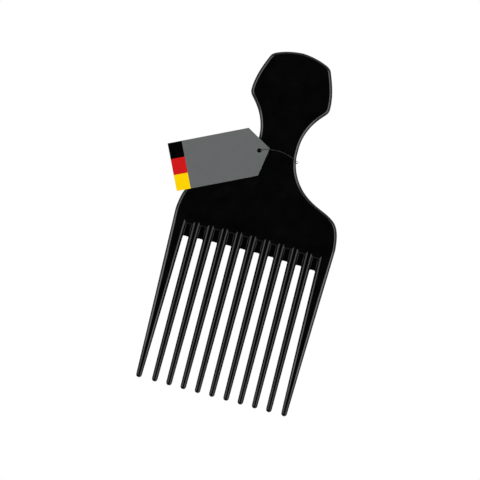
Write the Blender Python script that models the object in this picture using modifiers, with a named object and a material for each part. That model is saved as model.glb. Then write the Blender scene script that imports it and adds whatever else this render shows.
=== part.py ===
# Wide-toothed styling comb in one moulding, with a card tag on a thread loop round its neck.
# The comb lies on its back: +Z is up out of its face, +Y runs to the palm grip, -Y to the tooth tips.
# The origin is under the middle of the comb, on the surface that it rests on.

import math

import bmesh
import bpy
import numpy as np
from mathutils import Vector
from mathutils.geometry import interpolate_bezier

MM = 0.001
MERGE_DISTANCE = 0.01 * MM

# Comb: overall sizes
COMB_LENGTH = 170.0 * MM
PLATE_THICKNESS = 4.5 * MM
WAIST_THICKNESS = 3.0 * MM
TIP_THICKNESS = 2.2 * MM

# Comb: teeth
TOOTH_COUNT = 11
TOOTH_PITCH = 6.97 * MM
TIP_FAN = 0.1 * MM
TOOTH_ROOT_WIDTH = 4.3 * MM
TOOTH_TIP_WIDTH = 2.7 * MM
SIDE_FLANK = 2.45 * MM
OUTER_TIP_SPREAD = 0.95 * MM
SLOT_CORNER_RADIUS = 0.45 * MM
SLOT_ARC_DROP = 1.1 * MM

# Comb: palm grip, neck and shoulders; the handle runs from the crown to the middle slots' ends
HANDLE_LENGTH = 97.9 * MM
GRIP_WIDTH = 38.9 * MM
GRIP_RISE = 22.8 * MM
CHEEK_DROP = 3.1 * MM
CHEEK_STEP = 1.35 * MM
NECK_WIDTH = 19.7 * MM
NECK_DROP = 44.35 * MM
NECK_STRAIGHT = 2.4 * MM
SHOULDER_RISE = 35.6 * MM
SHOULDER_SPAN = 29.7 * MM
SIDE_DROP = 6.0 * MM

# Comb: the rim and tooth edges, two facets from the side land up to the face
RIM_WIDTH = 1.25 * MM
ROOT_RIM_WIDTH = 1.39 * MM
TIP_RIM_WIDTH = 0.86 * MM
OUTER_FACET_SHARE = 0.45
LAND_HEIGHT_SHARE = 0.28
OUTER_FACET_HEIGHT_SHARE = 0.74
MITRE_LIMIT_SHARE = 0.5

# Comb: sunk pockets over the slots, on both faces
POCKET_LENGTH = 7.8 * MM
POCKET_FLOOR_LENGTH = 5.2 * MM
POCKET_OVERRUN = 0.7 * MM
POCKET_STEP = 0.01 * MM
POCKET_FLOOR_STEP = 0.4 * MM
POCKET_CORNER_RADIUS = 0.7 * MM
WEB_THICKNESS = 1.6 * MM
WALL_FOOT_SHARE = 0.22
CUT_OVERRUN = 0.2 * MM

# Comb: where the neck is thinner
WAIST_BELOW_NECK = 9.9 * MM
WAIST_ABOVE_NECK = 5.6 * MM
WAIST_FADE = 12.0 * MM
WAIST_STEP_COUNT = 5

# Swing tag
TAG_BODY_LENGTH = 39.5 * MM
TAG_WIDTH = 23.2 * MM
TAG_POINT_LENGTH = 8.0 * MM
TAG_THICKNESS = 0.4 * MM
TAG_HOLE_RADIUS = 1.0 * MM
TAG_HOLE_TO_POINT = 5.3 * MM
TAG_HOLE_X = -8.16 * MM
TAG_HOLE_LEAD = 0.9 * MM
TAG_TURN = math.radians(26.0)
REST_GAP = 0.3 * MM

# Thread loop and its knot; the loop's place is its drop below the neck's narrow stretch
THREAD_DIAMETER = 0.3 * MM
THREAD_POINT_COUNT = 76
LOOP_DROP = 6.9 * MM
KNOT_RING_RADIUS = 0.5 * MM
KNOT_X = 10.72 * MM
KNOT_LEAD = 0.2 * MM
KNOT_Z = 3.6 * MM

HALF_PLATE = PLATE_THICKNESS / 2
TOOTH_LENGTH = COMB_LENGTH - HANDLE_LENGTH
TIP_Y = -COMB_LENGTH / 2
CROWN_Y = COMB_LENGTH / 2
ROOT_Y = TIP_Y + TOOTH_LENGTH
GRIP_Y = CROWN_Y - GRIP_RISE
NECK_Y = CROWN_Y - NECK_DROP
FOOT_Y = NECK_Y - NECK_STRAIGHT - SHOULDER_RISE
SIDE_Y = FOOT_Y - SIDE_DROP
WAIST_LOW_Y = NECK_Y - WAIST_BELOW_NECK
WAIST_HIGH_Y = NECK_Y + WAIST_ABOVE_NECK
LOOP_Y = NECK_Y - LOOP_DROP
OUTER_TOOTH_X = (TOOTH_COUNT - 1) / 2 * TOOTH_PITCH
COMB_HALF_WIDTH = OUTER_TOOTH_X + TOOTH_ROOT_WIDTH / 2 + SIDE_FLANK


def clear_scene():
    for old in list(bpy.data.objects):
        bpy.data.objects.remove(old, do_unlink=True)


def make_collection(name):
    group = bpy.data.collections.new(name)
    bpy.context.scene.collection.children.link(group)
    return group


def make_material(name, colour, roughness):
    material = bpy.data.materials.new(name)
    material.use_nodes = True
    shader = material.node_tree.nodes["Principled BSDF"]
    shader.inputs["Base Color"].default_value = (*colour, 1.0)
    shader.inputs["Roughness"].default_value = roughness
    shader.inputs["Metallic"].default_value = 0.0
    return material


def place(name, data, group, material):
    thing = bpy.data.objects.new(name, data)
    group.objects.link(thing)
    data.materials.append(material)
    return thing


def heading(degrees):
    angle = math.radians(degrees)
    return Vector((math.cos(angle), math.sin(angle), 0.0))


def bend(start, start_degrees, end, end_degrees, steps):
    # A round sweep between two points that leaves and arrives in the given headings.
    turn = math.radians(abs(end_degrees - start_degrees))
    chord = (end - start).length
    reach = chord * (2 / 3) * math.tan(turn / 4) / math.sin(turn / 2)
    knots = interpolate_bezier(
        start,
        start + heading(start_degrees) * reach,
        end - heading(end_degrees) * reach,
        end,
        steps + 1,
    )
    return [Vector(knot) for knot in knots[1:]]


def along_tooth(y):
    # 0 at the middle slots' ends, 1 at the tips, below 0 up in the plate.
    return (ROOT_Y - y) / TOOTH_LENGTH


def blend(start, end, share):
    return start + (end - start) * share


def tooth_half_width(y):
    return blend(TOOTH_ROOT_WIDTH, TOOTH_TIP_WIDTH, along_tooth(y)) / 2


def tooth_sides(place_index, y):
    # Left and right side of one tooth at the mid-plane; the outer teeth flare into the plate's sides.
    pitch = TOOTH_PITCH + TIP_FAN * along_tooth(y)
    middle = place_index * pitch
    half = tooth_half_width(y)
    last = (TOOTH_COUNT - 1) / 2
    if abs(place_index) < last:
        return middle - half, middle + half
    tip_middle = last * TOOTH_PITCH + OUTER_TIP_SPREAD
    inner = blend(OUTER_TOOTH_X - TOOTH_ROOT_WIDTH / 2, tip_middle - TOOTH_TIP_WIDTH / 2, along_tooth(y))
    side_share = (SIDE_Y - y) / (SIDE_Y - TIP_Y)
    outer = blend(COMB_HALF_WIDTH, tip_middle + TOOTH_TIP_WIDTH / 2, side_share)
    if place_index > 0:
        return inner, outer
    return -outer, -inner


def slot_root_y(right_tooth):
    # The slots' ends lie on a shallow arc, lowest in the slots beside the outer teeth.
    place_square = (right_tooth - 0.5) ** 2
    last_square = ((TOOTH_COUNT - 2) / 2) ** 2
    return ROOT_Y - SLOT_ARC_DROP * (place_square - 0.25) / (last_square - 0.25)


def rim_width(y):
    # Width in plan of the two facets: steady round the handle, wider at the roots, narrow at the tips.
    share = along_tooth(y)
    if share > 0:
        return blend(ROOT_RIM_WIDTH, TIP_RIM_WIDTH, share)
    plate_share = min(1.0, (y - ROOT_Y) / (SIDE_Y - ROOT_Y))
    return blend(ROOT_RIM_WIDTH, RIM_WIDTH, plate_share)


def half_thickness(y):
    # Teeth thin down evenly to the tips, and the neck dips smoothly at the waist.
    share = along_tooth(y)
    if share > 0:
        return blend(HALF_PLATE, TIP_THICKNESS / 2, share)
    fade = max(WAIST_LOW_Y - y, y - WAIST_HIGH_Y, 0.0) / WAIST_FADE
    fade = min(fade, 1.0)
    ease = fade * fade * (3 - 2 * fade)
    return blend(WAIST_THICKNESS / 2, HALF_PLATE, ease)


def grip_outline():
    # Right half of the palm grip, the neck and the shoulder, from the crown down to the outer tooth.
    half_grip = GRIP_WIDTH / 2
    half_neck = NECK_WIDTH / 2
    crown = Vector((0.0, CROWN_Y, 0.0))
    temple_shares = ((0.637, 0.876), (0.772, 0.773))
    temple_top = Vector((half_grip * temple_shares[0][0], GRIP_Y + GRIP_RISE * temple_shares[0][1], 0.0))
    temple_low = Vector((half_grip * temple_shares[1][0], GRIP_Y + GRIP_RISE * temple_shares[1][1], 0.0))
    cheek_top = Vector((half_grip, GRIP_Y, 0.0))
    cheek_low = Vector((half_grip - CHEEK_STEP, GRIP_Y - CHEEK_DROP, 0.0))
    neck_top = Vector((half_neck, NECK_Y, 0.0))
    neck_low = Vector((half_neck, NECK_Y - NECK_STRAIGHT, 0.0))
    nape_share = Vector((0.365, 0.622))
    nape = Vector((blend(neck_top.x, cheek_low.x, nape_share.x), blend(NECK_Y, cheek_low.y, nape_share.y), 0.0))
    shoulder_span_shares = (0.187, 0.578, 0.838, 0.983)
    shoulder_rise_shares = (0.583, 0.354, 0.243, 0.0)
    shoulder = [
        Vector((half_neck + SHOULDER_SPAN * across, FOOT_Y + SHOULDER_RISE * up, 0.0))
        for across, up in zip(shoulder_span_shares, shoulder_rise_shares)
    ]
    side = Vector((COMB_HALF_WIDTH, SIDE_Y, 0.0))
    points = [crown]
    points += bend(crown, -3, temple_top, -24, 7)
    points += bend(temple_top, -24, temple_low, -67, 5)
    points += bend(temple_low, -67, cheek_top, -90, 6)
    points += bend(cheek_top, -90, cheek_low, -132, 4)
    points += bend(cheek_low, -132, nape, -118, 4)
    points += bend(nape, -118, neck_top, -90, 5)
    points += bend(neck_low, -90, shoulder[0], -51, 5)
    points += bend(shoulder[0], -51, shoulder[1], -23, 5)
    points += bend(shoulder[1], -23, shoulder[2], -37, 3)
    points += bend(shoulder[2], -37, shoulder[3], -80, 6)
    points += bend(shoulder[3], -80, side, -91.5, 2)
    return points


def tooth_tip(place_index, steps):
    # Round end of one tooth, from its right side round to its left side.
    radius = TOOTH_TIP_WIDTH / 2
    left, right = tooth_sides(place_index, TIP_Y + radius)
    middle = (left + right) / 2
    half = (right - left) / 2
    turns = [math.pi * step / steps for step in range(steps + 1)]
    return [
        Vector((middle + half * math.cos(turn), TIP_Y + radius - radius * math.sin(turn), 0.0))
        for turn in turns
    ]


def slot_end(right_tooth, steps):
    # Closed end of the slot on the left of a tooth: up its right wall, across, and down its left wall.
    radius = SLOT_CORNER_RADIUS
    wall_y = slot_root_y(right_tooth) - radius
    right_wall = tooth_sides(right_tooth, wall_y)[0]
    left_wall = tooth_sides(right_tooth - 1, wall_y)[1]
    quarter = [math.pi / 2 * step / steps for step in range(steps + 1)]
    right_corner = [
        Vector((right_wall - radius + radius * math.cos(turn), wall_y + radius * math.sin(turn), 0.0))
        for turn in quarter
    ]
    left_corner = [
        Vector((left_wall + radius - radius * math.cos(turn), wall_y + radius * math.sin(turn), 0.0))
        for turn in reversed(quarter)
    ]
    return right_corner + left_corner


def half_outline():
    # The comb's right half: grip, shoulder, then tooth by tooth in to the centre line.
    points = grip_outline()
    place_index = (TOOTH_COUNT - 1) / 2
    while place_index > 0:
        points += tooth_tip(place_index, 6)
        points += slot_end(place_index, 3)
        place_index -= 1
    if place_index == 0:
        points += tooth_tip(place_index, 6)
    right_half = [point for point in points[1:] if point.x > MERGE_DISTANCE]
    centre_y = TIP_Y if TOOTH_COUNT % 2 else ROOT_Y
    return [points[0]] + right_half + [Vector((0.0, centre_y, 0.0))]


def inset_outline(points, share):
    # Each point moves in square to the outline, by its share of the rim's width there.
    moved = []
    for index, point in enumerate(points):
        before = points[index - 1] if index > 0 else Vector((-points[1].x, points[1].y, 0.0))
        after = points[index + 1] if index + 1 < len(points) else Vector((-points[-2].x, points[-2].y, 0.0))
        come = (point - before).normalized()
        go = (after - point).normalized()
        inward = Vector((come.y + go.y, -come.x - go.x, 0.0)).normalized()
        mitre = max(inward.dot(Vector((come.y, -come.x, 0.0))), MITRE_LIMIT_SHARE)
        moved.append(point + inward * (rim_width(point.y) * share / mitre))
    moved[0].x = 0.0
    moved[-1].x = 0.0
    return moved


def comb_quarter():
    # A loft of inset outlines from the mid-plane up to the face, open at the two mirror planes.
    outline = half_outline()
    levels = (
        (0.0, 0.0),
        (0.0, LAND_HEIGHT_SHARE),
        (OUTER_FACET_SHARE, OUTER_FACET_HEIGHT_SHARE),
        (1.0, 1.0),
    )
    shell = bmesh.new()
    rows = []
    for inset_share, height_share in levels:
        lift = Vector((0.0, 0.0, HALF_PLATE * height_share))
        rows.append([shell.verts.new(point + lift) for point in inset_outline(outline, inset_share)])
    for low, high in zip(rows, rows[1:]):
        for index in range(len(outline) - 1):
            shell.faces.new((low[index + 1], low[index], high[index], high[index + 1]))
    shell.faces.new(list(reversed(rows[-1])))
    shell.normal_update()
    fade_steps = [WAIST_FADE * step / WAIST_STEP_COUNT for step in range(WAIST_STEP_COUNT + 1)]
    stations = [ROOT_Y]
    stations += [WAIST_LOW_Y - step for step in fade_steps]
    stations += [WAIST_HIGH_Y + step for step in fade_steps]
    for station in stations:
        everything = shell.verts[:] + shell.edges[:] + shell.faces[:]
        bmesh.ops.bisect_plane(
            shell, geom=everything, plane_co=(0.0, station, 0.0), plane_no=(0.0, 1.0, 0.0)
        )
    for corner in shell.verts:
        corner.co.z *= half_thickness(corner.co.y) / HALF_PLATE
    mesh = bpy.data.meshes.new("comb")
    shell.to_mesh(mesh)
    shell.free()
    return mesh


def pocket_ring(right_tooth, spread, top_y, corner, z, steps):
    # One level of a pocket cutter: the slot's own walls carried up into the plate, with round top corners.
    low_y = slot_root_y(right_tooth) - POCKET_OVERRUN

    def walls(y):
        left = tooth_sides(right_tooth - 1, y)[1]
        right = tooth_sides(right_tooth, y)[0]
        return left - spread + POCKET_STEP, right + spread - POCKET_STEP

    low_left, low_right = walls(low_y)
    top_left, top_right = walls(top_y)
    ring = [Vector((low_left, low_y, z))]
    for step in range(steps + 1):
        turn = math.pi / 2 * step / steps
        ring.append(
            Vector((top_left + corner - corner * math.cos(turn), top_y - corner + corner * math.sin(turn), z))
        )
    for step in range(steps + 1):
        turn = math.pi / 2 * step / steps
        ring.append(
            Vector((top_right - corner + corner * math.sin(turn), top_y - corner + corner * math.cos(turn), z))
        )
    ring.append(Vector((low_right, low_y, z)))
    return ring


def pocket_cutter(right_tooth, side, group):
    # A tray with the tooth's facets as its walls and a sloping upper end; side is +1 on the face, -1 behind.
    root_y = slot_root_y(right_tooth)
    rim = rim_width(root_y)
    face_z = half_thickness(root_y)
    facet_z = face_z * OUTER_FACET_HEIGHT_SHARE
    land_z = face_z * LAND_HEIGHT_SHARE
    floor_z = WEB_THICKNESS / 2
    wall_foot_z = blend(floor_z, facet_z, WALL_FOOT_SHARE)
    facet_slope = rim * OUTER_FACET_SHARE / (facet_z - land_z)
    face_slope = rim * (1 - OUTER_FACET_SHARE) / (face_z - facet_z)
    end_run = POCKET_LENGTH - POCKET_FLOOR_LENGTH
    run_shares = (0.0, 0.22, 0.62, 1.0)
    ends = [root_y + POCKET_FLOOR_LENGTH + end_run * share for share in run_shares]
    end_slope = (ends[3] - ends[2]) / (face_z - facet_z)
    levels = (
        (-POCKET_FLOOR_STEP, ends[0], floor_z),
        ((wall_foot_z - land_z) * facet_slope, ends[1], wall_foot_z),
        (rim * OUTER_FACET_SHARE, ends[2], facet_z),
        (rim + CUT_OVERRUN * face_slope, ends[3] + CUT_OVERRUN * end_slope, face_z + CUT_OVERRUN),
    )
    tray = bmesh.new()
    rings = []
    for spread, top_y, z in levels:
        ring = pocket_ring(right_tooth, spread, top_y, POCKET_CORNER_RADIUS, z * side, 3)
        rings.append([tray.verts.new(point) for point in ring])
    count = len(rings[0])
    for low, high in zip(rings, rings[1:]):
        for index in range(count):
            beside = (index + 1) % count
            tray.faces.new((low[index], low[beside], high[beside], high[index]))
    tray.faces.new(rings[0])
    tray.faces.new(rings[-1])
    bmesh.ops.recalc_face_normals(tray, faces=tray.faces[:])
    mesh = bpy.data.meshes.new("pocket_cutter")
    tray.to_mesh(mesh)
    tray.free()
    cutter = bpy.data.objects.new("pocket_cutter", mesh)
    cutter.hide_render = True
    cutter.display_type = "WIRE"
    cutter.location.z = HALF_PLATE
    group.objects.link(cutter)


def make_comb(group, cutters, material):
    comb = place("comb", comb_quarter(), group, material)
    comb.location.z = HALF_PLATE
    mirror = comb.modifiers.new("mirror_halves", "MIRROR")
    mirror.use_axis = (True, False, True)
    mirror.merge_threshold = MERGE_DISTANCE
    for slot in range(TOOTH_COUNT - 1):
        right_tooth = slot + 1 - (TOOTH_COUNT - 1) / 2
        for side in (1, -1):
            pocket_cutter(right_tooth, side, cutters)
    cut = comb.modifiers.new("pockets", "BOOLEAN")
    cut.operation = "DIFFERENCE"
    cut.solver = "EXACT"
    cut.operand_type = "COLLECTION"
    cut.collection = cutters
    return comb


def make_tag(group, material):
    # A flat card outline and its hole as one 2D curve; its origin is the hole, where it swings.
    card = bpy.data.curves.new("swing_tag", "CURVE")
    card.dimensions = "2D"
    card.fill_mode = "BOTH"
    card.extrude = TAG_THICKNESS / 2
    point_x = TAG_HOLE_TO_POINT
    shoulder_x = point_x - TAG_POINT_LENGTH
    end_x = shoulder_x - TAG_BODY_LENGTH
    half = TAG_WIDTH / 2
    corners = ((end_x, -half), (shoulder_x, -half), (point_x, 0.0), (shoulder_x, half), (end_x, half))
    hole_steps = 24
    turns = [2 * math.pi * step / hole_steps for step in range(hole_steps)]
    hole = [(TAG_HOLE_RADIUS * math.cos(turn), TAG_HOLE_RADIUS * math.sin(turn)) for turn in turns]
    for ring in (corners, hole):
        spline = card.splines.new("POLY")
        spline.points.add(len(ring) - 1)
        for point, (x, y) in zip(spline.points, ring):
            point.co = (x, y, 0.0, 1.0)
        spline.use_cyclic_u = True
    tag = place("swing_tag", card, group, material)
    tag.location = (TAG_HOLE_X, LOOP_Y + TAG_HOLE_LEAD, PLATE_THICKNESS + REST_GAP + TAG_THICKNESS / 2)
    tag.rotation_euler.z = TAG_TURN
    return tag


def thread_route():
    # The thread from one side of its knot over the neck, through the card and back underneath.
    # Across, along from the loop's own level, and up from the surface that the comb rests on.
    return [
        Vector((across, along, up)) * MM + Vector((0.0, LOOP_Y, 0.0))
        for across, along, up in (
            (10.30, 0.52, 4.02),
            (9.50, 0.98, 4.18),
            (8.26, 1.50, 4.28),
            (6.00, 2.25, 4.46),
            (3.00, 2.85, 4.82),
            (0.20, 2.98, 5.24),
            (-2.20, 2.80, 5.56),
            (-3.60, 2.60, 5.68),
            (-5.00, 2.32, 5.70),
            (-6.30, 1.88, 5.62),
            (-7.30, 1.35, 5.38),
            (-8.16, 0.90, 5.00),
            (-8.95, 0.52, 4.58),
            (-9.70, 0.22, 4.28),
            (-10.50, -0.02, 3.85),
            (-10.98, -0.18, 3.10),
            (-11.05, -0.25, 2.25),
            (-10.90, -0.28, 1.35),
            (-10.40, -0.28, 0.65),
            (-9.50, -0.26, 0.32),
            (-8.00, -0.22, 0.25),
            (-4.00, -0.10, 0.25),
            (0.00, -0.08, 0.25),
            (4.00, -0.16, 0.25),
            (8.00, -0.26, 0.25),
            (9.60, -0.34, 0.32),
            (10.50, -0.38, 0.68),
            (10.94, -0.38, 1.40),
            (11.04, -0.32, 2.20),
            (11.00, -0.22, 2.90),
        )
    ]


def smooth_line(route, count):
    # Evenly spaced points on a smooth curve that passes through every point of the route.
    fine = []
    for index in range(len(route) - 1):
        start, end = route[index], route[index + 1]
        before = route[index - 1] if index > 0 else start
        after = route[index + 2] if index + 2 < len(route) else end
        leave = start + (end - before) / 6
        arrive = end - (after - start) / 6
        fine += interpolate_bezier(start, leave, arrive, end, 12)[:-1]
    fine.append(route[-1])
    walked = np.cumsum([0.0] + [(b - a).length for a, b in zip(fine, fine[1:])])
    stops = np.linspace(0.0, walked[-1], count)
    columns = [np.interp(stops, walked, [point[axis] for point in fine]) for axis in range(3)]
    return list(zip(*columns))


def make_thread(group, material):
    strand = bpy.data.curves.new("tag_thread", "CURVE")
    strand.dimensions = "3D"
    strand.bevel_depth = THREAD_DIAMETER / 2
    strand.bevel_resolution = 2
    strand.use_fill_caps = True
    line = smooth_line(thread_route(), THREAD_POINT_COUNT)
    spline = strand.splines.new("POLY")
    spline.points.add(len(line) - 1)
    for point, (x, y, z) in zip(spline.points, line):
        point.co = (x, y, z, 1.0)
    return place("tag_thread", strand, group, material)


def make_knot(group, material):
    bpy.ops.mesh.primitive_torus_add(
        major_segments=20,
        minor_segments=8,
        major_radius=KNOT_RING_RADIUS,
        minor_radius=THREAD_DIAMETER / 2,
        location=(KNOT_X, LOOP_Y + KNOT_LEAD, KNOT_Z),
    )
    knot = bpy.context.active_object
    for holder in list(knot.users_collection):
        holder.objects.unlink(knot)
    group.objects.link(knot)
    knot.name = "thread_knot"
    knot.data.name = "thread_knot"
    knot.data.materials.append(material)
    knot.data.shade_smooth()
    return knot


def main():
    clear_scene()
    parts = make_collection("styling_comb")
    cutters = make_collection("styling_comb_cutters")
    black = make_material("black_gloss_plastic", (0.004, 0.004, 0.0045), 0.18)
    card = make_material("printed_card", (0.13, 0.135, 0.13), 0.55)
    grey_thread = make_material("grey_thread", (0.08, 0.08, 0.085), 0.8)
    make_comb(parts, cutters, black)
    make_tag(parts, card)
    make_thread(parts, grey_thread)
    make_knot(parts, grey_thread)


main()
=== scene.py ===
import math

import bmesh
import bpy
import numpy as np
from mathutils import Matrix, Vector
from mathutils.geometry import interpolate_bezier


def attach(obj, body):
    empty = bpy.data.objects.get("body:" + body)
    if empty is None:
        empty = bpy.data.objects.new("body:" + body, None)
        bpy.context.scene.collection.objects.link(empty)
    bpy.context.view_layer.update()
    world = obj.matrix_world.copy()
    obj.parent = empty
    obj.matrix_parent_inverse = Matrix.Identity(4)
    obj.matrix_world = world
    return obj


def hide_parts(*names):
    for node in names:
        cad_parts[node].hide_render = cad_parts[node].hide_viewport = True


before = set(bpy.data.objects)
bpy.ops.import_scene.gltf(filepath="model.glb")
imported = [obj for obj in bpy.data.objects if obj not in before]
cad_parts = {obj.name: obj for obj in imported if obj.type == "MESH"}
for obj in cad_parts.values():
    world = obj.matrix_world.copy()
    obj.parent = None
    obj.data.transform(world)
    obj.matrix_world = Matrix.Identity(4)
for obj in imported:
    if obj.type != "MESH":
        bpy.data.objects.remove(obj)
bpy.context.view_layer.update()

mm = 0.001

# Camera, square above the comb

cameraSpec = {
    "lens": 180.0,
    "sensor": 36.0,
    "viewWidth": 229.5 * mm,
    "aim": Vector((-5.92, -9.0, 3.0)) * mm,
    "roll": math.radians(15.10),
    "clipStart": 0.05,
    "clipEnd": 20.0,
}


def addCamera(spec):
    data = bpy.data.cameras.new("photoCamera")
    data.lens = spec["lens"]
    data.sensor_width = spec["sensor"]
    data.clip_start = spec["clipStart"]
    data.clip_end = spec["clipEnd"]
    camera = bpy.data.objects.new("photoCamera", data)
    distance = spec["viewWidth"] * spec["lens"] / spec["sensor"]
    camera.location = spec["aim"] + Vector((0.0, 0.0, distance))
    camera.rotation_euler = (0.0, 0.0, spec["roll"])
    bpy.context.scene.collection.objects.link(camera)
    bpy.context.scene.camera = camera


addCamera(cameraSpec)
print("camera")


# Node helpers


class Nodes:
    def __init__(self, tree):
        self.tree = tree

    def add(self, kind, **settings):
        node = self.tree.nodes.new(kind)
        for name, value in settings.items():
            setattr(node, name, value)
        return node

    def link(self, source, target):
        self.tree.links.new(source, target)

    def put(self, value, socket):
        # A socket is linked, and anything else is set as the value
        if isinstance(value, bpy.types.NodeSocket):
            self.link(value, socket)
        else:
            socket.default_value = value

    def math(self, operation, *values):
        node = self.add("ShaderNodeMath", operation=operation)
        for slot, value in enumerate(values):
            self.put(value, node.inputs[slot])
        return node.outputs[0]

    def noise(self, coordinates, scale, detail=2.0, roughness=0.5):
        node = self.add("ShaderNodeTexNoise")
        self.put(coordinates, node.inputs["Vector"])
        self.put(scale, node.inputs["Scale"])
        self.put(detail, node.inputs["Detail"])
        self.put(roughness, node.inputs["Roughness"])
        return node.outputs["Fac"]

    def spread(self, value, low, high, toLow, toHigh):
        node = self.add("ShaderNodeMapRange")
        node.clamp = True
        self.link(value, node.inputs["Value"])
        node.inputs["From Min"].default_value = low
        node.inputs["From Max"].default_value = high
        node.inputs["To Min"].default_value = toLow
        node.inputs["To Max"].default_value = toHigh
        return node.outputs["Result"]

    def colours(self, factor, first, second):
        node = self.add("ShaderNodeMix", data_type="RGBA")
        self.put(factor, node.inputs["Factor"])
        for socket, value in ((node.inputs["A"], first), (node.inputs["B"], second)):
            self.put((*value, 1.0) if isinstance(value, tuple) else value, socket)
        return node.outputs["Result"]

    def bump(self, height, distance, strength=1.0, normal=None):
        node = self.add("ShaderNodeBump")
        node.inputs["Distance"].default_value = distance
        node.inputs["Strength"].default_value = strength
        self.link(height, node.inputs["Height"])
        if normal is not None:
            self.link(normal, node.inputs["Normal"])
        return node.outputs["Normal"]

    def group(self, tree, **values):
        node = self.add("ShaderNodeGroup", node_tree=tree)
        for name, value in values.items():
            self.put(value, node.inputs[name])
        return node.outputs


def newMaterial(name, colour, roughness, specular=0.5):
    material = bpy.data.materials.new(name)
    material.use_nodes = True
    nodes = Nodes(material.node_tree)
    shader = material.node_tree.nodes["Principled BSDF"]
    shader.inputs["Base Color"].default_value = (*colour, 1.0)
    shader.inputs["Roughness"].default_value = roughness
    shader.inputs["Specular IOR Level"].default_value = specular
    place = nodes.add("ShaderNodeTexCoord").outputs["Object"]
    return material, nodes, shader, place


# Fibre grain that the thread and the card share

grainSpec = {
    "coarseDetail": 3.0,
    "coarseRoughness": 0.55,
    "toneRange": (0.3, 0.7),
}


def makeFibreGrain(spec):
    tree = bpy.data.node_groups.new("fibreGrain", "ShaderNodeTree")
    tree.interface.new_socket("place", in_out="INPUT", socket_type="NodeSocketVector")
    for name in ("fineScale", "fineDetail", "fineRoughness", "coarseScale", "coarseShare"):
        tree.interface.new_socket(name, in_out="INPUT", socket_type="NodeSocketFloat")
    for name in ("height", "tone"):
        tree.interface.new_socket(name, in_out="OUTPUT", socket_type="NodeSocketFloat")
    nodes = Nodes(tree)
    given = nodes.add("NodeGroupInput").outputs
    result = nodes.add("NodeGroupOutput").inputs
    fine = nodes.noise(given["place"], given["fineScale"], given["fineDetail"], given["fineRoughness"])
    coarse = nodes.noise(given["place"], given["coarseScale"], spec["coarseDetail"], spec["coarseRoughness"])
    apart = nodes.math("SUBTRACT", coarse, fine)
    height = nodes.math("MULTIPLY_ADD", apart, given["coarseShare"], fine)
    nodes.link(height, result["height"])
    nodes.link(nodes.spread(height, *spec["toneRange"], 0.0, 1.0), result["tone"])
    return tree


fibreGrain = makeFibreGrain(grainSpec)
print("grain")


# Piece helpers


def addPiece(mesh):
    piece = bpy.data.objects.new(mesh.name, mesh)
    bpy.context.scene.collection.objects.link(piece)
    return piece


def finishedMesh(holder, name):
    # The mesh that a holder's curve or modifiers make, without the holder
    bpy.context.scene.collection.objects.link(holder)
    bpy.context.view_layer.update()
    mesh = bpy.data.meshes.new_from_object(holder.evaluated_get(bpy.context.evaluated_depsgraph_get()))
    bpy.data.objects.remove(holder, do_unlink=True)
    mesh.name = name
    return mesh


# Black moulded plastic

plasticSpec = {
    "colour": (0.0008, 0.0008, 0.0009),
    "worn": (0.0014, 0.0014, 0.0015),
    # The toothed part's lower specular and the steep share below are painted shade between the teeth
    "specular": (0.215, 0.50),  # toothed part, and all the rest
    "steepShare": 0.2,
    "steepNormal": (0.58, 0.74),  # upright part of the normal, steep to flat
    "toothedTop": -3.0 * mm,
    "toothedSide": 33.6 * mm,
    "toothedFade": 1.5 * mm,
    "outerToothFade": (-78.0 * mm, -62.0 * mm),
    "roughness": (0.14, 0.23),
    "swirlScale": 140.0,
    "swirlDetail": 4.0,
    "swirlRoughness": 0.6,
    "toneRange": (0.35, 0.7),
    "hazeRange": (0.3, 0.75),
    "grainScale": 5200.0,
    "flowScale": 45.0,
    "flowDepth": 0.02 * mm,
    "grainDepth": 0.0012 * mm,
}


def plasticMaterial(spec):
    material, nodes, shader, place = newMaterial("mouldedPlastic", spec["colour"], spec["roughness"][0])
    swirl = nodes.noise(place, spec["swirlScale"], spec["swirlDetail"], spec["swirlRoughness"])
    tone = nodes.spread(swirl, *spec["toneRange"], 0.0, 1.0)
    nodes.link(nodes.colours(tone, spec["colour"], spec["worn"]), shader.inputs["Base Color"])
    haze = nodes.spread(swirl, *spec["hazeRange"], *spec["roughness"])
    nodes.link(haze, shader.inputs["Roughness"])
    # Painted shade: the reflection is turned down over the toothed part, where the teeth shade each other, and
    # most on their steep sides. The handle and the outer edges keep their full reflection
    split = nodes.add("ShaderNodeSeparateXYZ")
    nodes.link(place, split.inputs[0])
    top, side, fade = spec["toothedTop"], spec["toothedSide"], spec["toothedFade"]
    above = nodes.spread(split.outputs["Y"], top, top + fade, 0.0, 1.0)
    across = nodes.math("ABSOLUTE", split.outputs["X"])
    outer = nodes.spread(across, side, side + fade, 0.0, 1.0)
    overTips = nodes.spread(split.outputs["Y"], *spec["outerToothFade"], 0.0, 1.0)
    beside = nodes.math("MULTIPLY", outer, overTips)
    facing = nodes.add("ShaderNodeSeparateXYZ")
    nodes.link(nodes.add("ShaderNodeTexCoord").outputs["Normal"], facing.inputs[0])
    steep = nodes.math("ABSOLUTE", facing.outputs["Z"])
    paintedSteepShade = nodes.spread(steep, *spec["steepNormal"], spec["steepShare"], 1.0)
    between = nodes.math("MULTIPLY", paintedSteepShade, spec["specular"][0])
    outside = nodes.math("MAXIMUM", above, beside)
    change = nodes.math("SUBTRACT", spec["specular"][1], between)
    smooth = nodes.math("MULTIPLY_ADD", change, outside, between)
    nodes.link(smooth, shader.inputs["Specular IOR Level"])
    flow = nodes.noise(place, spec["flowScale"], 1.0)
    grain = nodes.noise(place, spec["grainScale"], 2.0)
    soft = nodes.bump(flow, spec["flowDepth"])
    nodes.link(nodes.bump(grain, spec["grainDepth"], 1.0, soft), shader.inputs["Normal"])
    return material


# Comb shape

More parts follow.
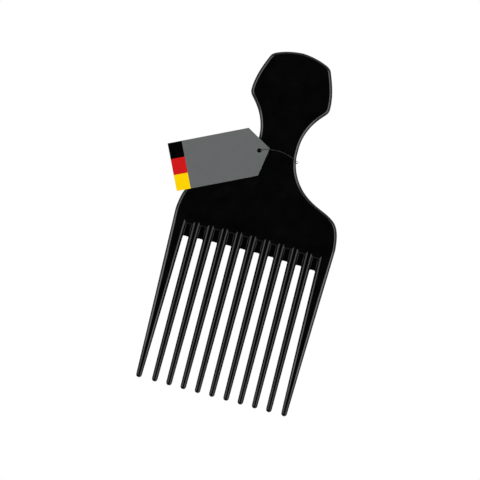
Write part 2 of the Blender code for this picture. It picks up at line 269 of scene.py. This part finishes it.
combSpec = {
    "length": 170.0 * mm,
    "plateThickness": 4.5 * mm,
    "waistThickness": 3.0 * mm,
    "tipThickness": 2.2 * mm,
    "toothCount": 11,
    "pitch": 6.97 * mm,
    "tipFan": 0.1 * mm,
    "handleLength": 97.9 * mm,
    "rootWidth": 4.3 * mm,
    "tipWidth": 2.7 * mm,
    "sideFlank": 2.49 * mm,
    "outerTipSpread": 0.95 * mm,
    "slotCorner": 0.45 * mm,
    "slotArcDrop": 1.03 * mm,
    "gripWidth": 38.9 * mm,
    "gripRise": 22.8 * mm,
    "cheekDrop": 3.1 * mm,
    "cheekStep": 1.35 * mm,
    "neckWidth": 19.85 * mm,
    "neckDrop": 44.35 * mm,
    "neckStraight": 2.4 * mm,
    "shoulderRise": 35.6 * mm,
    "shoulderSpan": 29.5 * mm,
    "sideDrop": 6.0 * mm,
    "templeTop": (0.637, 0.876),  # shares of half the grip's width and of its rise
    "templeLow": (0.772, 0.773),
    "nape": (0.365, 0.622),  # shares of the way from the neck to the cheek
    # Shares of the shoulder's span and rise
    "shoulderPoints": ((0.187, 0.583), (0.578, 0.354), (0.838, 0.243), (0.983, 0.0)),
    "rim": 1.25 * mm,
    "rootRim": 1.48 * mm,
    "sideRim": 1.18 * mm,
    "tipRim": 1.12 * mm,
    "tipRidge": 0.12 * mm,
    "pocketLength": 7.8 * mm,
    "pocketFloorLength": 5.26 * mm,
    # Shares of the wall's height, and how far up the sloping end each of them lies
    "pocketSlope": ((0.0, 0.286, 0.578, 0.884, 1.0), (0.0, 0.39, 0.445, 0.925, 1.0)),
    "pocketCorner": 0.6 * mm,
    "pocketFoot": 0.45 * mm,
    "web": 1.6 * mm,
    "webEdge": 0.05,  # share of rim width
    "webRows": (0.03, 0.006),  # shares of half the thickness, under the web's face
    "wallMargin": 0.3 * mm,
    "webMargin": 0.02 * mm,
    "waistBelow": 9.9 * mm,
    "waistAbove": 5.6 * mm,
    "waistFade": 12.0 * mm,
    "waistStep": 0.75 * mm,
    "mergeDistance": 0.0005 * mm,
    "mitreLimit": 0.5,
    "cornerSteps": 5,
    "runSteps": 5,
    "tipSteps": 12,
    "normalWeight": 60,
    "bow": 0.046,  # shift for the square of the distance from the bow's middle, in metres
    "bowMiddle": 10.0 * mm,
    "bowShift": -0.13 * mm,
}

halfPlate = combSpec["plateThickness"] / 2
toothLength = combSpec["length"] - combSpec["handleLength"]
tipY = -combSpec["length"] / 2
crownY = combSpec["length"] / 2
rootY = tipY + toothLength
gripY = crownY - combSpec["gripRise"]
neckY = crownY - combSpec["neckDrop"]
footY = neckY - combSpec["neckStraight"] - combSpec["shoulderRise"]
sideY = footY - combSpec["sideDrop"]
lastPlace = (combSpec["toothCount"] - 1) / 2
outerToothX = lastPlace * combSpec["pitch"]
combHalfWidth = outerToothX + combSpec["rootWidth"] / 2 + combSpec["sideFlank"]
webShare = combSpec["web"] / combSpec["plateThickness"]

# Rim profile from the mid-plane to the face, edges rounded: share of rim width in, share of height
rimProfile = (
    (0.0, 0.0),
    (0.0, 0.19),
    (0.006, 0.25),
    (0.030, 0.306),
    (0.075, 0.357),
    (0.48, 0.728),
    (0.533, 0.770),
    (0.585, 0.803),
    (0.83, 0.925),
    (0.90, 0.956),
    (0.99, 0.982),
    (1.10, 0.996),
    (1.24, 1.0),
)
softEnd = 0.83  # the share of rim width from which a tip's rims make room for its ridge

# Heights over the web, where its corners with the teeth are filled: share of height, fill in metres
filletRows = (
    (0.3556, 0.16 * mm),
    (0.362, 0.115 * mm),
    (0.376, 0.065 * mm),
    (0.402, 0.025 * mm),
    (0.44, 0.0),
    (0.54, 0.0),
)


def blend(start, end, share):
    return start + (end - start) * share


def alongTooth(y):
    return (rootY - y) / toothLength


def toothSides(place, y):
    share = alongTooth(y)
    half = blend(combSpec["rootWidth"], combSpec["tipWidth"], share) / 2
    middle = place * (combSpec["pitch"] + combSpec["tipFan"] * share)
    if abs(place) < lastPlace:
        return middle - half, middle + half
    tipMiddle = outerToothX + combSpec["outerTipSpread"]
    tipHalf = combSpec["tipWidth"] / 2
    inner = blend(outerToothX - combSpec["rootWidth"] / 2, tipMiddle - tipHalf, share)
    outer = blend(combHalfWidth, tipMiddle + tipHalf, (sideY - y) / (sideY - tipY))
    return (inner, outer) if place > 0 else (-outer, -inner)


def slotRoot(place):
    # The slots' ends lie on a shallow arc, lowest at the comb's sides
    drop = ((place - 0.5) ** 2 - 0.25) / ((lastPlace - 0.5) ** 2 - 0.25)
    return rootY - combSpec["slotArcDrop"] * drop


def rimWidth(y):
    share = alongTooth(y)
    if share > 0:
        return blend(combSpec["rootRim"], combSpec["tipRim"], share)
    if y < sideY:
        return blend(combSpec["rootRim"], combSpec["sideRim"], (y - rootY) / (sideY - rootY))
    return blend(combSpec["sideRim"], combSpec["rim"], min(1.0, (y - sideY) / (neckY - sideY)))


def ridgeLimit(y):
    # Close to a tip the rims stop short of each other, at a narrow ridge
    share = min(max(alongTooth(y), 0.0), 1.0)
    half = blend(combSpec["rootWidth"], combSpec["tipWidth"], share) / 2
    return (half - combSpec["tipRidge"]) / rimWidth(y)


def halfThickness(y):
    share = alongTooth(y)
    if share > 0:
        return blend(halfPlate, combSpec["tipThickness"] / 2, min(share, 1.0))
    low = neckY - combSpec["waistBelow"]
    high = neckY + combSpec["waistAbove"]
    fade = min(max(low - y, y - high, 0.0) / combSpec["waistFade"], 1.0)
    return blend(combSpec["waistThickness"] / 2, halfPlate, fade * fade * (3 - 2 * fade))


def heading(degrees):
    angle = math.radians(degrees)
    return Vector((math.cos(angle), math.sin(angle), 0.0))


def bend(start, startDegrees, end, endDegrees, steps):
    turn = math.radians(abs(endDegrees - startDegrees))
    reach = (end - start).length * (2 / 3) * math.tan(turn / 4) / math.sin(turn / 2)
    leave = start + heading(startDegrees) * reach
    arrive = end - heading(endDegrees) * reach
    return [Vector(knot) for knot in interpolate_bezier(start, leave, arrive, end, steps + 1)[1:]]


def bends(start, degrees, stops):
    points = []
    for end, endDegrees, steps in stops:
        points += bend(start, degrees, end, endDegrees, steps)
        start, degrees = end, endDegrees
    return points


def gripOutline():
    # From the crown down the right side to where the outer tooth's flank begins
    halfGrip = combSpec["gripWidth"] / 2
    halfNeck = combSpec["neckWidth"] / 2
    crown = Vector((0.0, crownY, 0.0))
    temples = [
        Vector((halfGrip * across, gripY + combSpec["gripRise"] * up, 0.0))
        for across, up in (combSpec["templeTop"], combSpec["templeLow"])
    ]
    cheekTop = Vector((halfGrip, gripY, 0.0))
    cheekLow = Vector((halfGrip - combSpec["cheekStep"], gripY - combSpec["cheekDrop"], 0.0))
    neckTop = Vector((halfNeck, neckY, 0.0))
    neckLow = Vector((halfNeck, neckY - combSpec["neckStraight"], 0.0))
    out, up = combSpec["nape"]
    nape = Vector((blend(neckTop.x, cheekLow.x, out), blend(neckY, cheekLow.y, up), 0.0))
    shoulder = [
        Vector((halfNeck + combSpec["shoulderSpan"] * across, footY + combSpec["shoulderRise"] * up, 0.0))
        for across, up in combSpec["shoulderPoints"]
    ]
    side = Vector((combHalfWidth, sideY, 0.0))
    # Where each bend ends, its heading there in degrees, and its steps
    upper = (
        (temples[0], -24, 22),
        (temples[1], -67, 12),
        (cheekTop, -90, 22),
        (cheekLow, -132, 12),
        (nape, -118, 10),
        (neckTop, -90, 16),
    )
    lower = (
        (shoulder[0], -51, 22),
        (shoulder[1], -23, 16),
        (shoulder[2], -37, 10),
        (shoulder[3], -80, 18),
        (side, -91.5, 8),
    )
    middle = blend(neckTop, neckLow, 0.5)
    return [crown] + bends(crown, -3, upper) + [middle] + bends(neckLow, -90, lower)


def toothTip(place):
    steps = combSpec["tipSteps"]
    radius = combSpec["tipWidth"] / 2
    left, right = toothSides(place, tipY + radius)
    middle, half = (left + right) / 2, (right - left) / 2
    turns = [math.pi * step / steps for step in range(steps + 1)]
    return [
        Vector((middle + half * math.cos(turn), tipY + radius - radius * math.sin(turn), 0.0))
        for turn in turns
    ]


def toothRun(place, rising):
    # One long edge of a tooth between its tip and root, as separate stations for the taper
    steps = combSpec["runSteps"]
    slotPlace = min(place if rising else place + 1, lastPlace)
    low = tipY + combSpec["tipWidth"] / 2
    high = slotRoot(slotPlace) - combSpec["slotCorner"] - combSpec["wallMargin"]
    shares = [(step + 1) / (steps + 1) for step in range(steps)]
    stations = [blend(low, high, share) if rising else blend(high, low, share) for share in shares]
    side = 0 if rising else 1
    return [Vector((toothSides(place, y)[side], y, 0.0)) for y in stations]


def wallShare(height):
    return max(0.0, (height - webShare) / (1 - webShare))


def pocketTop(root, height):
    # Where the pocket's sloping end stands at a height, from the web up to the face
    rise = combSpec["pocketLength"] - combSpec["pocketFloorLength"]
    share = float(np.interp(wallShare(height), *combSpec["pocketSlope"]))
    return root + combSpec["pocketFloorLength"] + rise * share


def slotPoints(place, inset, height, fill, upper):
    # One slot's end from its right wall round to its left, or its pocket's end above the web
    steps = combSpec["cornerSteps"]
    corner = combSpec["slotCorner"]
    if upper:
        corner = blend(combSpec["pocketFoot"], combSpec["pocketCorner"], wallShare(height))
    spread = inset * combSpec["rootRim"]
    root = slotRoot(place)
    wallY = root - combSpec["slotCorner"]
    overrun = max(0.0, inset - 1.0) * combSpec["rootRim"]
    topY = pocketTop(root, height) + overrun if upper else root + spread

    def walls(y):
        return toothSides(place - 1, y)[1], toothSides(place, y)[0]

    firstY = wallY - combSpec["wallMargin"]
    secondY = root + combSpec["webMargin"] if upper else wallY
    left, right = walls(firstY)
    leftNext, rightNext = walls(secondY)
    if upper:
        leftEnd, rightEnd = walls(topY)
        radius = corner
        centreY = topY - corner
        rightCentre = rightEnd + spread - fill - corner
        leftCentre = leftEnd - spread + fill + corner
        turns = [math.pi / 2 * step / steps for step in range(steps + 1)]
    else:
        leftEnd, rightEnd = walls(wallY)
        radius = corner + spread
        centreY = wallY
        rightCentre = rightEnd - corner
        leftCentre = leftEnd + corner
        turns = [math.pi / 2 * (step + 1) / (steps + 1) for step in range(steps + 1)]
    points = [(right + spread, firstY), (rightNext + spread - fill, secondY)]
    points += [(rightCentre + radius * math.cos(turn), centreY + radius * math.sin(turn)) for turn in turns]
    points += [
        (leftCentre - radius * math.cos(turn), centreY + radius * math.sin(turn)) for turn in reversed(turns)
    ]
    points += [(leftNext - spread + fill, secondY), (left - spread, firstY)]
    return [Vector((x, y, 0.0)) for x, y in points]


def halfOutline():
    # The right half's outline in pieces: plain points, and one marker per slot for its end
    runs = [("plain", gripOutline() + toothRun(lastPlace, False))]
    place = lastPlace
    while place > 0:
        runs.append(("plain", toothTip(place) + toothRun(place, True)))
        runs.append(("slot", place))
        place -= 1
        if place > 0:
            runs.append(("plain", toothRun(place, False)))
    runs.append(("plain", toothRun(0, False)))
    lastTip = [point for point in toothTip(0) if point.x > combSpec["mergeDistance"]]
    runs.append(("plain", lastTip + [Vector((0.0, tipY, 0.0))]))
    return runs


def insetRing(runs, inset, height, fill=0.0, upper=False):
    # The outline moved in by its share of the rim there, and lifted by its share of the thickness
    full = rimProfile[-1][0]
    flat = []
    for kind, value in runs:
        flat += value if kind == "plain" else slotPoints(value, 0.0, 0.0, 0.0, False)
    ring = []
    fixed = []
    index = 0
    for kind, value in runs:
        if kind == "slot":
            points = slotPoints(value, inset, height, fill, upper)
            ring += points
            fixed += [True] + [False] * (len(points) - 2) + [True]
            index += len(points)
            continue
        for point in value:
            before = flat[index - 1] if index > 0 else Vector((-flat[1].x, flat[1].y, 0.0))
            after = flat[index + 1] if index + 1 < len(flat) else Vector((-flat[-2].x, flat[-2].y, 0.0))
            come = (point - before).normalized()
            go = (after - point).normalized()
            inward = Vector((come.y + go.y, -come.x - go.x, 0.0)).normalized()
            mitre = max(inward.dot(Vector((come.y, -come.x, 0.0))), combSpec["mitreLimit"])
            depth = inset
            if alongTooth(point.y) > 0 and inset > softEnd:
                room = min(ridgeLimit(point.y), full)
                depth = softEnd + (inset - softEnd) * (room - softEnd) / (full - softEnd)
            ring.append(point + inward * (rimWidth(point.y) * depth / mitre))
            fixed.append(True)
            index += 1
    ring[0].x = 0.0
    ring[-1].x = 0.0
    for point in ring:
        point.z = height * halfPlate
    return ring, fixed


def combRows():
    # Heights of the rings with their fills over the web, and no fill up to the web
    heights = [row[1] for row in rimProfile]
    under, close = combSpec["webRows"]
    rows = [(height, None) for height in heights if height < webShare - under]
    rows += [(webShare - under, None), (webShare - close, None), (webShare, None)]
    rows += list(filletRows)
    rows += [(height, 0.0) for height in heights if height > filletRows[-1][0]]
    return rows


def combMesh():
    # A quarter of the comb: the right half's upper shell
    runs = halfOutline()
    rows = combRows()
    insets = [row[0] for row in rimProfile]
    heights = [row[1] for row in rimProfile]
    shell = bmesh.new()
    previous = None
    for height, fill in rows:
        upper = fill is not None
        inset = float(np.interp(height, heights, insets))
        if height == webShare:
            inset += combSpec["webEdge"]
        ring, fixed = insetRing(runs, inset, height, fill or 0.0, upper)
        if previous and upper and not previous[2]:
            verts = [
                old if keep else shell.verts.new(point)
                for point, keep, old in zip(ring, fixed, previous[0])
            ]
        else:
            verts = [shell.verts.new(point) for point in ring]
        if previous:
            low = previous[0]
            for index in range(len(ring) - 1):
                corners = (low[index + 1], low[index], verts[index], verts[index + 1])
                distinct = list(dict.fromkeys(corners))
                if len(distinct) > 2:
                    shell.faces.new(distinct)
        previous = (verts, fixed, upper)
    shell.faces.new(list(reversed(previous[0])))
    shell.normal_update()
    return shell


def thinShell(shell):
    # The face is cut across wherever the thickness changes, and then every point takes its thickness
    low = neckY - combSpec["waistBelow"]
    high = neckY + combSpec["waistAbove"]
    steps = int(round(combSpec["waistFade"] / combSpec["waistStep"]))
    stations = [rootY - combSpec["slotCorner"]]
    stations += [low - combSpec["waistStep"] * step for step in range(steps + 1)]
    stations += [high + combSpec["waistStep"] * step for step in range(steps + 1)]
    top = [max(shell.faces, key=lambda face: len(face.verts))]
    for station in stations:
        geometry = set(top)
        for face in top:
            geometry.update(face.edges)
            geometry.update(face.verts)
        result = bmesh.ops.bisect_plane(
            shell, geom=list(geometry), plane_co=(0.0, station, 0.0), plane_no=(0.0, 1.0, 0.0)
        )
        top = list({item for item in result["geom"] if isinstance(item, bmesh.types.BMFace)})
    for vert in shell.verts:
        vert.co.z *= halfThickness(vert.co.y) / halfPlate


def bowShift(x, y):
    # The comb is bowed a little in its own plane, all but the tip of its first tooth
    shift = combSpec["bowShift"] + combSpec["bow"] * (y - combSpec["bowMiddle"]) ** 2
    firstTooth = x < combSpec["pitch"] / 2 - outerToothX and y < rootY
    return min(shift, 0.0) if firstTooth else shift


def addComb(material):
    shell = combMesh()
    thinShell(shell)
    quarter = bpy.data.meshes.new("combQuarter")
    shell.to_mesh(quarter)
    shell.free()
    holder = bpy.data.objects.new("combQuarter", quarter)
    mirror = holder.modifiers.new("halves", "MIRROR")
    mirror.use_axis = (True, False, True)
    mirror.merge_threshold = combSpec["mergeDistance"]
    mesh = finishedMesh(holder, "combBody")
    for vert in mesh.vertices:
        vert.co.x += bowShift(vert.co.x, vert.co.y)
    comb = addPiece(mesh)
    comb.location.z = halfPlate
    weighted = comb.modifiers.new("evenNormals", "WEIGHTED_NORMAL")
    weighted.mode = "FACE_AREA"
    weighted.weight = combSpec["normalWeight"]
    mesh.materials.append(material)
    mesh.shade_smooth()
    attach(comb, "comb")
    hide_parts("comb")
    return comb


# Thread round the neck

loopY = 33.75 * mm

threadSpec = {
    "length": 49.2 * mm,
    "diameter": 0.3 * mm,
    "pulledDiameter": 0.24 * mm,
    "plyCount": 3,
    "aroundSteps": 18,
    "twistPitch": 0.8 * mm,
    "ringStep": 0.08 * mm,
    "pathStep": 4,
    "colour": (0.052, 0.052, 0.055),
    "dark": (0.036, 0.036, 0.038),
    "roughness": 0.85,
    "specular": 0.25,
    "fibreScale": 9000.0,
    "fibreDetail": 3.0,
    "fibreRoughness": 0.6,
    "fibreDepth": 0.01 * mm,
    "fibreStrength": 0.6,
}

# From the knot over the card, down through its hole, round the left edge and back behind the neck

threadRoute = [
    Vector((across, along, up)) * mm + Vector((0.0, loopY, 0.0))
    for across, along, up in (
        (10.30, 0.52, 4.02),
        (9.50, 0.98, 4.18),
        (8.26, 1.50, 4.28),
        (6.00, 2.25, 4.46),
        (3.00, 2.85, 4.76),
        (0.20, 2.98, 5.08),
        (-2.20, 2.80, 5.32),
        (-3.60, 2.60, 5.38),
        (-5.00, 2.32, 5.38),
        (-6.20, 1.92, 5.38),
        (-7.10, 1.45, 5.33),
        (-8.16, 0.90, 4.98),
        (-8.95, 0.52, 4.58),
        (-9.70, 0.22, 4.28),
        (-10.50, -0.02, 3.85),
        (-10.98, -0.18, 3.10),
        (-11.05, -0.25, 2.25),
        (-10.90, -0.28, 1.35),
        (-10.40, -0.28, 0.65),
        (-9.50, -0.26, 0.32),
        (-8.00, -0.22, 0.25),
        (-4.00, -0.10, 0.25),
        (0.00, -0.08, 0.25),
        (4.00, -0.16, 0.25),
        (8.00, -0.26, 0.25),
        (9.60, -0.34, 0.32),
        (10.50, -0.38, 0.68),
        (10.94, -0.38, 1.40),
        (11.04, -0.32, 2.20),
        (11.00, -0.22, 2.90),
    )
]


def smoothLine(route, count):
    # Evenly spaced points on one smooth curve through the route, and its length
    fine = []
    for index in range(len(route) - 1):
        start, end = route[index], route[index + 1]
        before = route[index - 1] if index > 0 else start
        after = route[index + 2] if index + 2 < len(route) else end
        fine += interpolate_bezier(start, start + (end - before) / 6, end - (after - start) / 6, end, 12)[:-1]
    fine.append(route[-1])
    walked = np.cumsum([0.0] + [(b - a).length for a, b in zip(fine, fine[1:])])
    stops = np.linspace(0.0, walked[-1], count)
    columns = [np.interp(stops, walked, [point[axis] for point in fine]) for axis in range(3)]
    return [Vector(point) for point in zip(*columns)], float(walked[-1])


def plyRadius(angle, plyCount, radius):
    # Outline of round plies that touch each other
    ply = radius / (1 + 1 / math.sin(math.pi / plyCount))
    reach = radius - ply
    part = 2 * math.pi / plyCount
    off = (angle % part) - part / 2
    return reach * math.cos(off) + math.sqrt(max(ply * ply - (reach * math.sin(off)) ** 2, 0.0))


def twistedTube(name, line, radius, spec):
    shell = bmesh.new()
    side = Vector((0.0, 0.0, 1.0))
    rings = []
    travelled = 0.0
    for index, point in enumerate(line):
        before = line[max(index - 1, 0)]
        after = line[min(index + 1, len(line) - 1)]
        ahead = (after - before).normalized()
        side = (side - ahead * side.dot(ahead)).normalized()
        across = ahead.cross(side)
        travelled += (point - before).length
        spin = 2 * math.pi * travelled / spec["twistPitch"]
        ring = []
        for step in range(spec["aroundSteps"]):
            angle = 2 * math.pi * step / spec["aroundSteps"]
            way = side * math.cos(angle + spin) + across * math.sin(angle + spin)
            ring.append(shell.verts.new(point + way * plyRadius(angle, spec["plyCount"], radius)))
        rings.append(ring)
    for low, high in zip(rings, rings[1:]):
        for step in range(spec["aroundSteps"]):
            beside = (step + 1) % spec["aroundSteps"]
            shell.faces.new((low[step], low[beside], high[beside], high[step]))
    shell.faces.new(list(reversed(rings[0])))
    shell.faces.new(rings[-1])
    bmesh.ops.recalc_face_normals(shell, faces=shell.faces[:])
    mesh = bpy.data.meshes.new(name)
    shell.to_mesh(mesh)
    shell.free()
    mesh.shade_smooth()
    return addPiece(mesh)


def threadMaterial(spec):
    finish = spec["roughness"], spec["specular"]
    material, nodes, shader, place = newMaterial("spunThread", spec["colour"], *finish)
    fibre = nodes.group(
        fibreGrain,
        place=place,
        fineScale=spec["fibreScale"],
        fineDetail=spec["fibreDetail"],
        fineRoughness=spec["fibreRoughness"],
    )
    nodes.link(nodes.colours(fibre["tone"], spec["dark"], spec["colour"]), shader.inputs["Base Color"])
    relief = nodes.bump(fibre["height"], spec["fibreDepth"], spec["fibreStrength"])
    nodes.link(relief, shader.inputs["Normal"])
    return material


def addThread(spec, material):
    length = smoothLine(threadRoute, 2)[1]
    line = smoothLine(threadRoute, int(round(length / spec["ringStep"])))[0]
    thread = twistedTube("threadLoop", line, spec["pulledDiameter"] / 2, spec)
    thread.data.materials.append(material)
    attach(thread, "thread_loop")
    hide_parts("tag_thread")
    return thread, line, length


knotSpec = {
    "centre": Vector((10.72, 0.2, 3.6)) * mm + Vector((0.0, loopY, 0.0)),
    "radius": 0.5 * mm,
    "lift": 0.2 * mm,
    "steps": 72,
    "threadShare": 0.9,
    "crossing": 1.18,
    "tail": 0.25 * mm,
}


def addKnot(spec, thread, material):
    # A small loop whose two ends cross on the side of the neck
    line = []
    for step in range(spec["steps"] + 1):
        turn = blend(-spec["crossing"], spec["crossing"], step / spec["steps"]) * math.pi
        reach = spec["radius"] + spec["tail"] * max(0.0, abs(turn) / math.pi - 1.0)
        lift = spec["lift"] * turn / math.pi
        line.append(spec["centre"] + Vector((math.cos(turn) * reach, math.sin(turn) * reach, lift)))
    radius = thread["pulledDiameter"] / 2 * spec["threadShare"]
    knot = twistedTube("threadKnot", line, radius, thread)
    knot.data.materials.append(material)
    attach(knot, "thread_loop")
    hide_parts("thread_knot")
    return knot


# Card tag

tagSpec = {
    "bodyLength": 39.44 * mm,
    "width": 23.2 * mm,
    "pointLength": 8.0 * mm,
    "thickness": 0.4 * mm,
    "holeRadius": 1.08 * mm,
    "holeToPoint": 5.1 * mm,
    "hole": Vector((-8.16, 0.9, 5.0)) * mm + Vector((0.0, loopY, 0.0)),
    "turn": math.radians(26.0),
    "holeSteps": 48,
    "weldDistance": 0.001 * mm,
    "bandWidth": 6.8 * mm,
    "printEdge": 0.03 * mm,
    "grey": (0.131, 0.138, 0.138),
    "black": (0.0015, 0.0015, 0.0018),
    "red": (0.617, 0.011, 0.011),
    "yellow": (0.983, 0.651, 0.002),
    "core": (0.70, 0.68, 0.63),
    "back": (0.66, 0.66, 0.64),
    "faceFinish": (0.8, 0.0),
    "coreFinish": (0.9, 0.2),
    "toneRange": (0.94, 1.06),
    "fibreScale": 2600.0,
    "fibreDetail": 5.0,
    "fibreRoughness": 0.65,
    "mottleScale": 260.0,
    "mottleShare": 0.4,
    "fibreDepth": 0.004 * mm,
    "fibreStrength": 0.7,
}


def barColours(spec, nodes, place):
    # Grey card, with the three bars across its square end
    split = nodes.add("ShaderNodeSeparateXYZ")
    nodes.link(place, split.inputs[0])
    along, across = split.outputs["X"], split.outputs["Y"]
    bandEnd = spec["holeToPoint"] - spec["pointLength"] - spec["bodyLength"] + spec["bandWidth"]
    third = spec["width"] / 6
    edge = spec["printEdge"]
    inBand = nodes.spread(along, bandEnd - edge, bandEnd + edge, 1.0, 0.0)
    aboveRed = nodes.spread(across, third - edge, third + edge, 0.0, 1.0)
    aboveYellow = nodes.spread(across, -third - edge, -third + edge, 0.0, 1.0)
    lower = nodes.colours(aboveYellow, spec["yellow"], spec["red"])
    bars = nodes.colours(aboveRed, lower, spec["black"])
    return nodes.colours(inBand, spec["grey"], bars)


def cardMaterial(spec, name, colour, finish, printed=False):
    material, nodes, shader, place = newMaterial(name, colour, *finish)
    paper = nodes.group(
        fibreGrain,
        place=place,
        fineScale=spec["fibreScale"],
        fineDetail=spec["fibreDetail"],
        fineRoughness=spec["fibreRoughness"],
        coarseScale=spec["mottleScale"],
        coarseShare=spec["mottleShare"],
    )
    toned = nodes.add("ShaderNodeVectorMath", operation="SCALE")
    nodes.put(barColours(spec, nodes, place) if printed else colour, toned.inputs[0])
    nodes.link(nodes.spread(paper["tone"], 0.0, 1.0, *spec["toneRange"]), toned.inputs["Scale"])
    nodes.link(toned.outputs["Vector"], shader.inputs["Base Color"])
    nodes.link(nodes.bump(paper["height"], spec["fibreDepth"], spec["fibreStrength"]), shader.inputs["Normal"])
    return material


def addTag(spec):
    pointX = spec["holeToPoint"]
    shoulderX = pointX - spec["pointLength"]
    endX = shoulderX - spec["bodyLength"]
    half = spec["width"] / 2
    card = bpy.data.curves.new("cardOutline", "CURVE")
    card.dimensions = "2D"
    card.fill_mode = "BOTH"
    card.extrude = spec["thickness"] / 2
    corners = ((endX, -half), (shoulderX, -half), (pointX, 0.0), (shoulderX, half), (endX, half))
    turns = [2 * math.pi * step / spec["holeSteps"] for step in range(spec["holeSteps"])]
    hole = [(spec["holeRadius"] * math.cos(turn), spec["holeRadius"] * math.sin(turn)) for turn in turns]
    for ring in (corners, hole):
        spline = card.splines.new("POLY")
        spline.points.add(len(ring) - 1)
        for point, (x, y) in zip(spline.points, ring):
            point.co = (x, y, 0.0, 1.0)
        spline.use_cyclic_u = True
    mesh = finishedMesh(bpy.data.objects.new("cardOutline", card), "cardTag")
    shell = bmesh.new()
    shell.from_mesh(mesh)
    bmesh.ops.remove_doubles(shell, verts=shell.verts[:], dist=spec["weldDistance"])
    bmesh.ops.recalc_face_normals(shell, faces=shell.faces[:])
    for face in shell.faces:  # 0 is the printed side, 1 the back, 2 the cut edge
        face.material_index = 0 if face.normal.z > 0.5 else (1 if face.normal.z < -0.5 else 2)
    shell.to_mesh(mesh)
    shell.free()
    tag = addPiece(mesh)
    tag.location = spec["hole"]
    tag.rotation_euler.z = spec["turn"]
    mesh.materials.append(cardMaterial(spec, "printedCard", spec["grey"], spec["faceFinish"], True))
    mesh.materials.append(cardMaterial(spec, "cardBack", spec["back"], spec["faceFinish"]))
    mesh.materials.append(cardMaterial(spec, "cardCore", spec["core"], spec["coreFinish"]))
    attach(tag, "tag")
    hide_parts("swing_tag")
    return tag


spunThread = threadMaterial(threadSpec)
threadLoop, threadLine, threadLength = addThread(threadSpec, spunThread)
threadKnot = addKnot(knotSpec, threadSpec, spunThread)
cardTag = addTag(tagSpec)
print("thread", round(threadLength * 1000, 2), "mm")

addComb(plasticMaterial(plasticSpec))
print("comb")


# Floor, backdrop and lamps

stageSpec = {
    "floorSize": 4.0,
    "floorDrop": 0.05 * mm,
    "floorColour": (0.42, 0.42, 0.42),
    "floorRoughness": 0.9,
    "overheadLight": 0.01,
    "wallLight": 0.24,
    "frontLight": 0.75,
    "frontWay": (0.6, -0.8, 0.0),
    "frontTurn": (0.5, 0.9),
    "wallTop": (0.25, 0.6),
}

lampSpecs = (
    {"name": "leftSoftbox", "place": (-0.63, 0.085, 0.35), "size": (1.13, 0.66), "power": 7.3},
    {"name": "rightSoftbox", "place": (0.63, 0.065, 0.35), "size": (1.17, 0.66), "power": 7.6},
)


def addFloor(spec):
    # White to the camera, plain pale grey to every other ray
    shell = bmesh.new()
    bmesh.ops.create_grid(shell, x_segments=1, y_segments=1, size=spec["floorSize"] / 2)
    mesh = bpy.data.meshes.new("studioFloor")
    shell.to_mesh(mesh)
    shell.free()
    floor = addPiece(mesh)
    floor.location.z = -spec["floorDrop"]
    material, nodes, shader = newMaterial("floorPaper", spec["floorColour"], spec["floorRoughness"], 0.0)[:3]
    white = nodes.add("ShaderNodeEmission")
    ray = nodes.add("ShaderNodeLightPath")
    mixed = nodes.add("ShaderNodeMixShader")
    nodes.link(ray.outputs["Is Camera Ray"], mixed.inputs["Fac"])
    nodes.link(shader.outputs["BSDF"], mixed.inputs[1])
    nodes.link(white.outputs["Emission"], mixed.inputs[2])
    output = material.node_tree.nodes["Material Output"]
    nodes.link(mixed.outputs["Shader"], output.inputs["Surface"])
    mesh.materials.append(material)


def addWorld(spec):
    # White to the camera, and to other rays a low wall of light that is brighter in front
    world = bpy.data.worlds.new("studioWorld")
    world.use_nodes = True
    nodes = Nodes(world.node_tree)
    dim = world.node_tree.nodes["Background"]
    dim.inputs["Color"].default_value = (1.0, 1.0, 1.0, 1.0)
    around = nodes.add("ShaderNodeTexCoord").outputs["Generated"]
    direction = nodes.add("ShaderNodeSeparateXYZ")
    nodes.link(around, direction.inputs[0])
    steep = nodes.math("ABSOLUTE", direction.outputs["Z"])
    low = nodes.spread(steep, *spec["wallTop"], 1.0, 0.0)
    front = nodes.add("ShaderNodeVectorMath", operation="DOT_PRODUCT")
    nodes.link(around, front.inputs[0])
    front.inputs[1].default_value = spec["frontWay"]
    wall = nodes.spread(front.outputs["Value"], *spec["frontTurn"], spec["wallLight"], spec["frontLight"])
    nodes.link(nodes.math("MULTIPLY_ADD", low, wall, spec["overheadLight"]), dim.inputs["Strength"])
    white = nodes.add("ShaderNodeBackground")
    white.inputs["Color"].default_value = (1.0, 1.0, 1.0, 1.0)
    ray = nodes.add("ShaderNodeLightPath")
    mixed = nodes.add("ShaderNodeMixShader")
    nodes.link(ray.outputs["Is Camera Ray"], mixed.inputs["Fac"])
    nodes.link(dim.outputs["Background"], mixed.inputs[1])
    nodes.link(white.outputs["Background"], mixed.inputs[2])
    nodes.link(mixed.outputs["Shader"], world.node_tree.nodes["World Output"].inputs["Surface"])
    bpy.context.scene.world = world


def addLamp(spec):
    data = bpy.data.lights.new(spec["name"], "AREA")
    data.shape = "RECTANGLE"
    data.size, data.size_y = spec["size"]
    data.energy = spec["power"]
    lamp = bpy.data.objects.new(spec["name"], data)
    lamp.location = spec["place"]
    lamp.rotation_mode = "QUATERNION"
    lamp.rotation_quaternion = (-Vector(spec["place"])).to_track_quat("-Z", "Y")
    lamp.visible_camera = False
    bpy.context.scene.collection.objects.link(lamp)


addFloor(stageSpec)
addWorld(stageSpec)
for lampSpec in lampSpecs:
    addLamp(lampSpec)
bpy.context.scene.view_settings.view_transform = "Standard"
print("stage")
